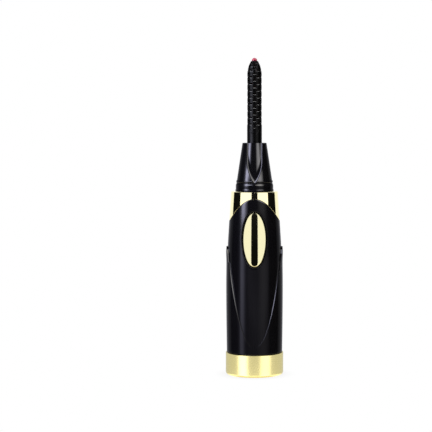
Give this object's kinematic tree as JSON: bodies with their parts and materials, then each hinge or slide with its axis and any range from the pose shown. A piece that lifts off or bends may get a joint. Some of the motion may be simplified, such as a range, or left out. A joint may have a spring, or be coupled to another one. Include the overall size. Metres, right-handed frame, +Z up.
{
  "type": "heated eyelash curler",
  "caption": "Pen-type heated eyelash curler: slotted comb head on a nose cone, gold ring, tapered black body with an oval gold push button and a pull-off gold base cap over the battery.",
  "frame": {"origin": "centre of the base cap's flat bottom", "axes": "+Z up the pen from the base cap to the comb's tip, -Y out of the push button, +X to the right when the button faces the viewer"},
  "size_m": [0.0254, 0.0254, 0.1395],
  "materials": {
    "comb_black": "satin heat-resistant plastic",
    "silicone_red": "smooth translucent silicone",
    "ceramic_white": "unglazed",
    "bush_ivory": "matte heat-proof plastic",
    "lead_red": "insulated wire",
    "body_black": "high gloss moulded",
    "gold_mirror": "mirror gold electroplated",
    "gold_satin": "satin gold anodised",
    "plug_black": "fine matte",
    "seal_rubber": "matte rubber",
    "contact_steel": "nickel plated",
    "cell_jacket": "printed film jacket",
    "carrier_grey": "fine matte moulded",
    "board_green": "solder mask on glass fibre",
    "plunger_red": "satin",
    "chip_black": "moulded epoxy",
    "resistor_dark": "coated",
    "capacitor_tan": "fired ceramic",
    "screw_steel": "zinc plated"
  },
  "bodies": {
    "housing": {"body_shell": "body_black", "gold_ring": "gold_mirror", "nose_cone": "body_black", "comb_shell": "comb_black", "heating_core": "silicone_red", "heater_strip": "ceramic_white", "heater_bush": "bush_ivory", "heater_leads": "lead_red", "battery_carrier": "carrier_grey", "positive_contact": "contact_steel", "ground_strip": "contact_steel", "circuit_board": "board_green", "switch_body": "plug_black", "control_chip": "chip_black", "chip_resistors": "resistor_dark", "capacitor": "capacitor_tan", "board_screws": "screw_steel"},
    "button": {"power_button": "gold_mirror"},
    "plunger": {"switch_plunger": "plunger_red"},
    "cap": {"base_cap": "gold_satin", "cap_plug": "plug_black", "cap_seal": "seal_rubber", "contact_cup": "contact_steel", "contact_spring": "contact_steel"},
    "cell": {"battery_cell": "cell_jacket"}
  },
  "joints": [
    {"name": "button_press", "type": "slide", "parent": "housing", "child": "button", "axis": [0, 1, 0], "range_m": [0, 0.0005], "stiffness_N_per_m": 800, "springref_m": -0.0005},
    {"name": "switch_plunge", "type": "slide", "parent": "housing", "child": "plunger", "axis": [0, 1, 0], "range_m": [0, 0.0005]},
    {"name": "cap_pull", "type": "slide", "parent": "housing", "child": "cap", "axis": [0, 0, -1], "range_m": [0, 0.06]},
    {"name": "cell_slide", "type": "slide", "parent": "housing", "child": "cell", "axis": [0, 0, -1], "range_m": [0, 0.06]}
  ],
  "couplings": [
    {"joint": "switch_plunge", "follows": "button_press", "ratio": 1},
    {"joint": "cell_slide", "follows": "cap_pull", "ratio": 1}
  ]
}
